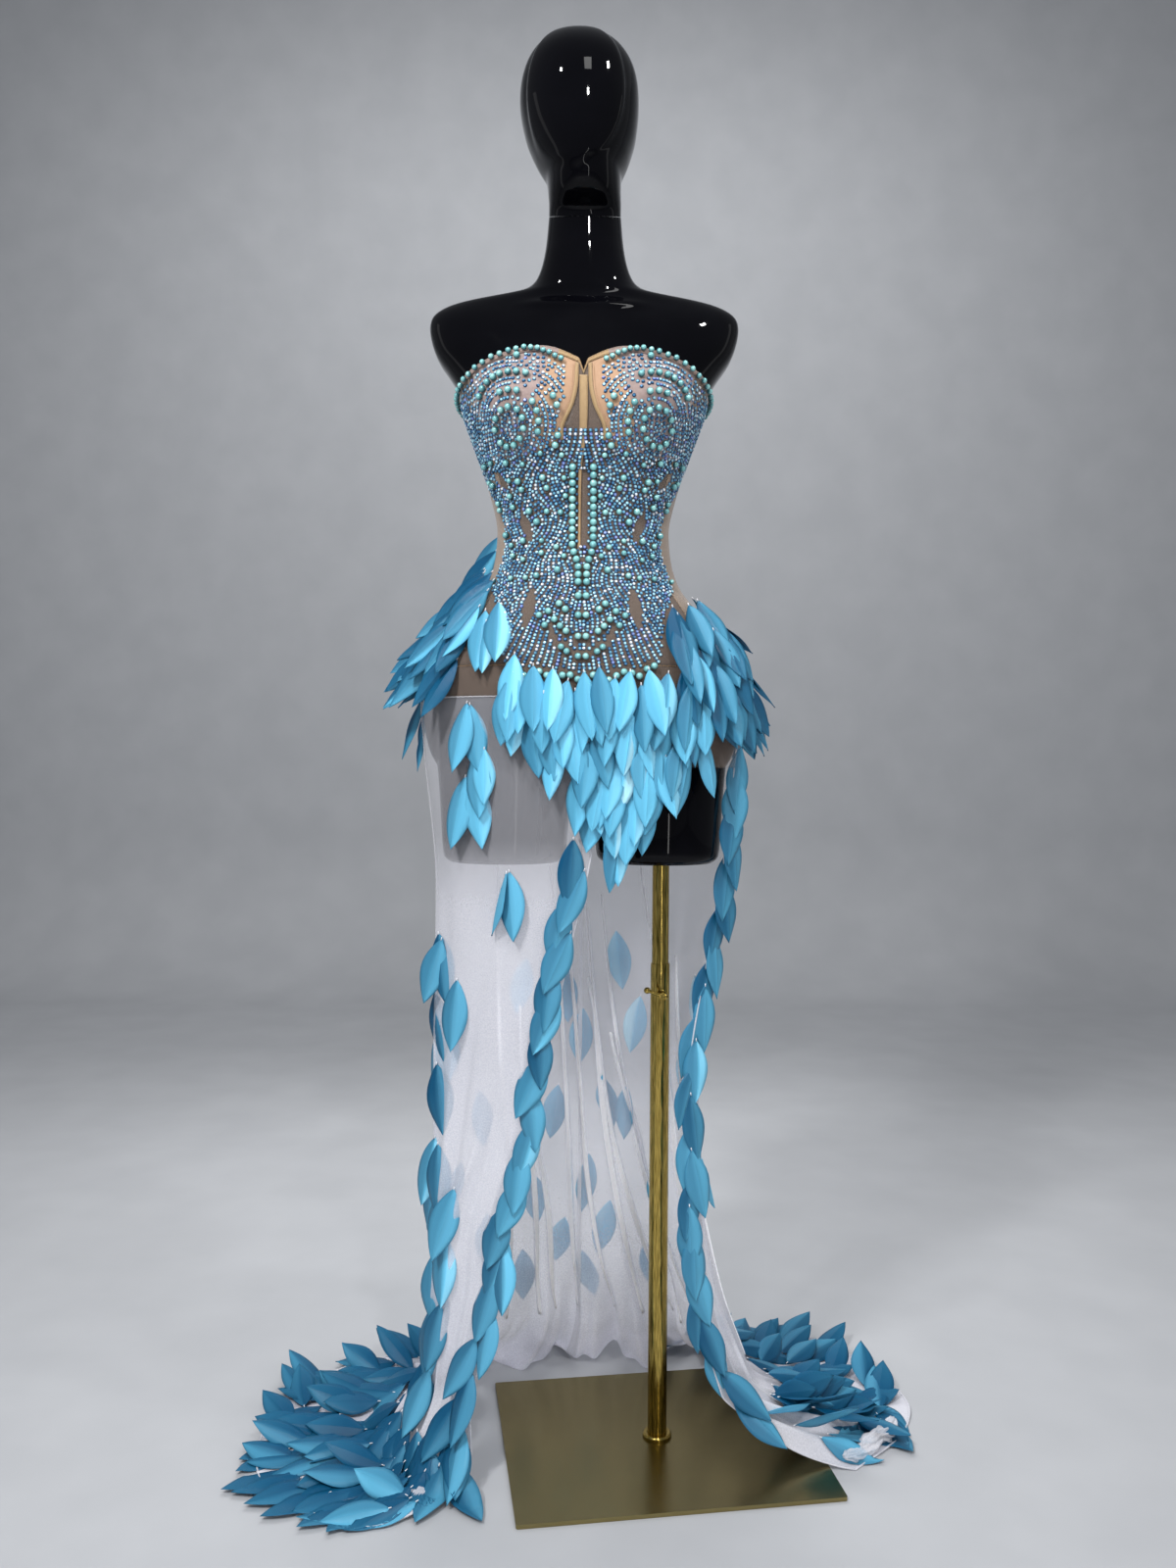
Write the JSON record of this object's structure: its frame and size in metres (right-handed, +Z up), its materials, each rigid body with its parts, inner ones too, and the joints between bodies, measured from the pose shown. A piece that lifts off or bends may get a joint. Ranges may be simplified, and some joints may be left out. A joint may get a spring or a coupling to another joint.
{
  "type": "mermaid gown on a dress form stand",
  "caption": "Strapless beaded mermaid gown with a slit sheer skirt, leaf trims and a floor train, worn by a gloss limbless dress form on a brass pole stand.",
  "frame": {"origin": "centre of the base plate's underside, on the pole's axis", "axes": "+Z up along the pole; the gown's front faces -Y; +X towards the wearer's left"},
  "size_m": [0.8733, 0.5018, 1.815],
  "materials": {
    "brushed_brass": "brushed along its length, lacquered",
    "polished_brass": "polished",
    "gloss_black": "high gloss lacquer",
    "nude_mesh": "fine stretch mesh, sheer",
    "cup_cloth": "moulded stretch cloth, matte",
    "tan_tape": "satin tape",
    "white_mesh": "soft stretch mesh, sheer",
    "leaf_satin": "satin leaf paillettes with a centre crease"
  },
  "bodies": {
    "stand": {"base_plate": "brushed_brass", "pole_flange": "polished_brass", "pole_lower": "polished_brass", "pole_upper": "polished_brass", "form_torso": "gloss_black", "form_head": "gloss_black", "centre_front": "nude_mesh", "cup_right": "cup_cloth", "cup_left": "cup_cloth", "midriff_right": "nude_mesh", "midriff_left": "nude_mesh", "bodice_back_right": "nude_mesh", "bodice_back_left": "nude_mesh", "centre_bone": "tan_tape", "cup_edge_right": "tan_tape", "cup_edge_left": "tan_tape", "neckline_binding": "tan_tape", "yoke_front": "nude_mesh", "yoke_back_right": "nude_mesh", "yoke_back_left": "nude_mesh", "apron_panel": "nude_mesh", "skirt_front": "white_mesh", "skirt_back_right": "white_mesh", "skirt_back_left": "white_mesh", "skirt_side_left": "white_mesh", "hem_roll": "white_mesh", "leaves_apron": "leaf_satin", "leaves_hip_right": "leaf_satin", "leaves_hip_left": "leaf_satin", "leaves_waist": "leaf_satin", "leaves_thigh": "leaf_satin", "leaves_knee": "leaf_satin", "leaves_edge_right": "leaf_satin", "leaves_slit_right": "leaf_satin", "leaves_slit_left": "leaf_satin", "leaves_train_right": "leaf_satin", "leaves_train_left": "leaf_satin"},
    "screw": {"thumb_screw": "polished_brass"}
  },
  "joints": [
    {"name": "screw_turn", "type": "hinge", "parent": "stand", "child": "screw", "pos_m": [0, 0, 0.587], "axis": [0.0523, -0.9986, 0], "range_deg": [0, 450]}
  ]
}
